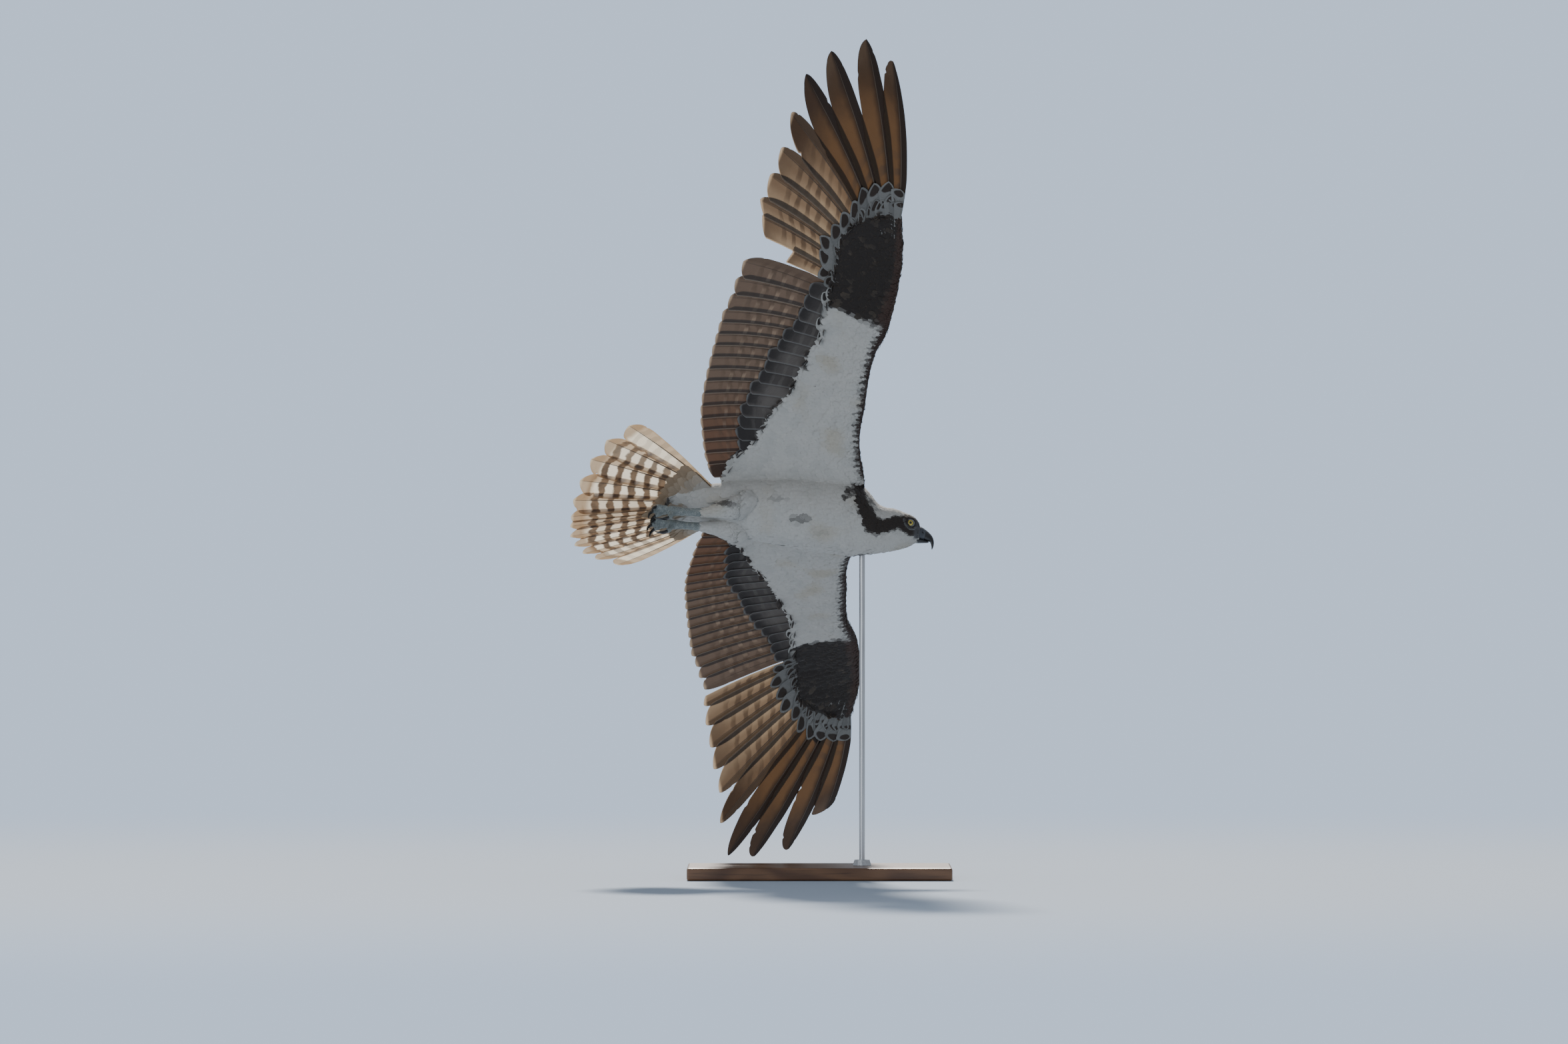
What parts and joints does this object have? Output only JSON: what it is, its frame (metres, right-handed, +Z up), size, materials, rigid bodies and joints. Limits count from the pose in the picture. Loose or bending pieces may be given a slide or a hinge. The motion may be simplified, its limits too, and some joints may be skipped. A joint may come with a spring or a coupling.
{
  "type": "osprey model in flight",
  "caption": "Life-size still model of an osprey in a banked glide, wings and tail spread, held on a flat base by one rod.",
  "frame": {"origin": "centre of the stand base's underside", "axes": "+Z up from the base; +X is the way the bird flies, so that its right side of the bank is seen from -Y"},
  "size_m": [0.6059, 1.0007, 1.3204],
  "materials": {
    "underparts": "matt feathers",
    "wing": "matt feathers",
    "tail": "matt feathers",
    "head": "matt feathers",
    "bill": "satin horn",
    "cere": "satin bare skin",
    "eye": "wet gloss",
    "foot": "matt scales",
    "talon": "polished horn",
    "base": "satin varnish",
    "rod": "brushed"
  },
  "bodies": {
    "root": {"bill_lower": "bill", "bill_upper": "bill", "cere": "cere", "eye_left": "eye", "eye_right": "eye", "foot_left": "foot", "foot_right": "foot", "head": "head", "leg_left_tarsus": "foot", "leg_left_thigh": "underparts", "leg_right_tarsus": "foot", "leg_right_thigh": "underparts", "neck": "underparts", "stand_base": "base", "stand_collar": "rod", "stand_rod": "rod", "tail": "tail", "talon_left_1": "talon", "talon_left_2": "talon", "talon_left_3": "talon", "talon_left_4": "talon", "talon_right_1": "talon", "talon_right_2": "talon", "talon_right_3": "talon", "talon_right_4": "talon", "torso": "underparts", "wing_left_arm": "wing", "wing_left_hand": "wing", "wing_right_arm": "wing", "wing_right_hand": "wing"}
  },
  "joints": []
}
